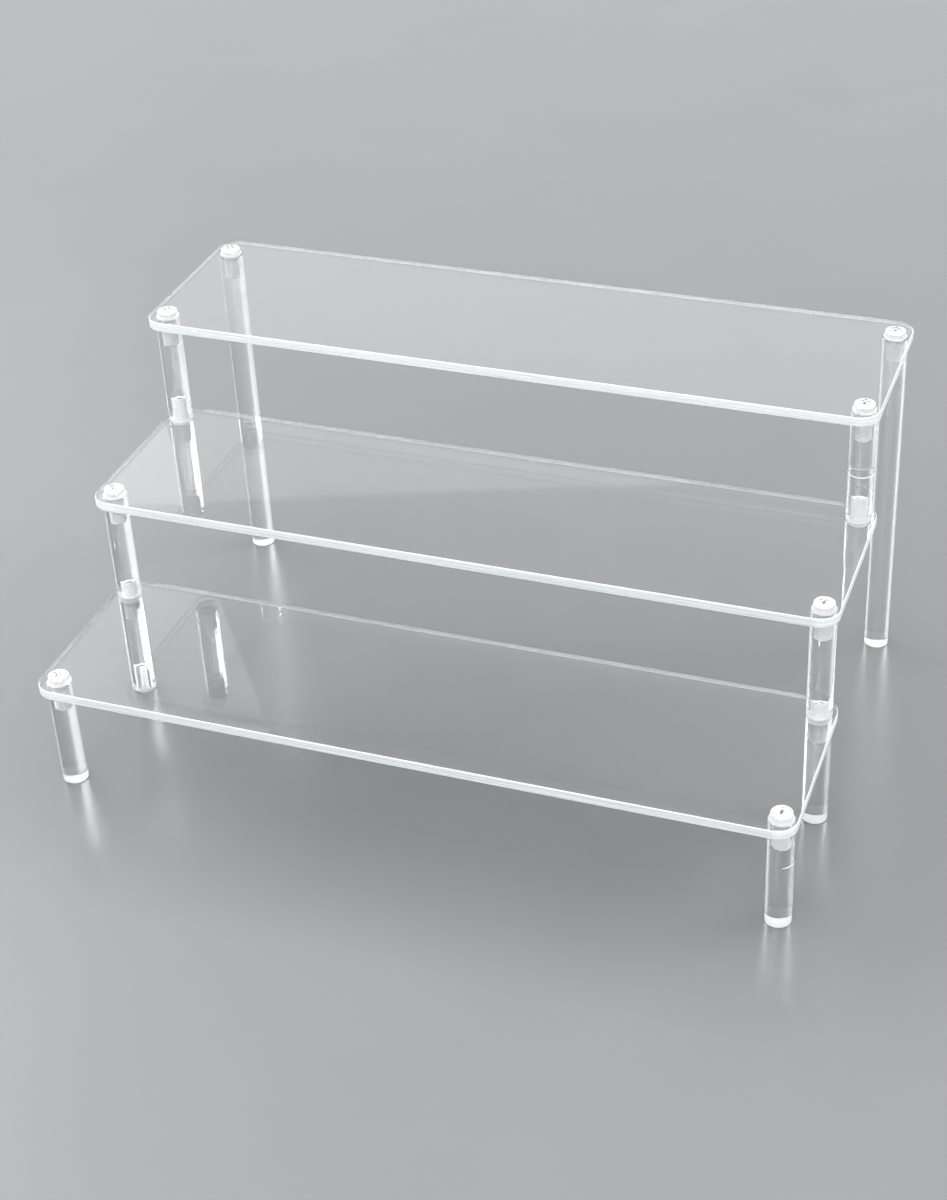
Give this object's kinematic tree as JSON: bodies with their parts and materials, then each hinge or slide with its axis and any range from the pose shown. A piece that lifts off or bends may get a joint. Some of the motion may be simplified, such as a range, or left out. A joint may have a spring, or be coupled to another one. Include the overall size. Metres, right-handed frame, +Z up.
{
  "type": "tiered shelf riser",
  "caption": "Stair-stepped display riser of clear acrylic: flat rectangular shelves with rounded corners, carried on round rods screwed together through the shelves.",
  "frame": {"origin": "on the floor, at the middle of the riser's width and depth", "axes": "+X to the right along the shelves, +Y to the back where the top shelf is, +Z up"},
  "size_m": [0.3, 0.2, 0.1504],
  "materials": {
    "shelf_sheet": "clear polished acrylic sheet with satin cut edges",
    "rod_stock": "clear polished acrylic rod with ground ends",
    "clear_fastener": "clear moulded plastic with bright threads"
  },
  "bodies": {
    "root": {"bottom_shelf": "shelf_sheet", "middle_shelf": "shelf_sheet", "top_shelf": "shelf_sheet", "front_foot_left": "rod_stock", "middle_foot_left": "rod_stock", "rear_leg_left": "rod_stock", "lower_riser_left": "rod_stock", "upper_riser_left": "rod_stock", "bottom_shelf_screw_left": "clear_fastener", "middle_shelf_screw_left": "clear_fastener", "top_shelf_front_screw_left": "clear_fastener", "top_shelf_rear_screw_left": "clear_fastener", "joint_stud_left": "clear_fastener", "flush_screw_left": "clear_fastener", "front_foot_right": "rod_stock", "middle_foot_right": "rod_stock", "rear_leg_right": "rod_stock", "lower_riser_right": "rod_stock", "upper_riser_right": "rod_stock", "bottom_shelf_screw_right": "clear_fastener", "middle_shelf_screw_right": "clear_fastener", "top_shelf_front_screw_right": "clear_fastener", "top_shelf_rear_screw_right": "clear_fastener", "joint_stud_right": "clear_fastener", "flush_screw_right": "clear_fastener"}
  },
  "joints": []
}
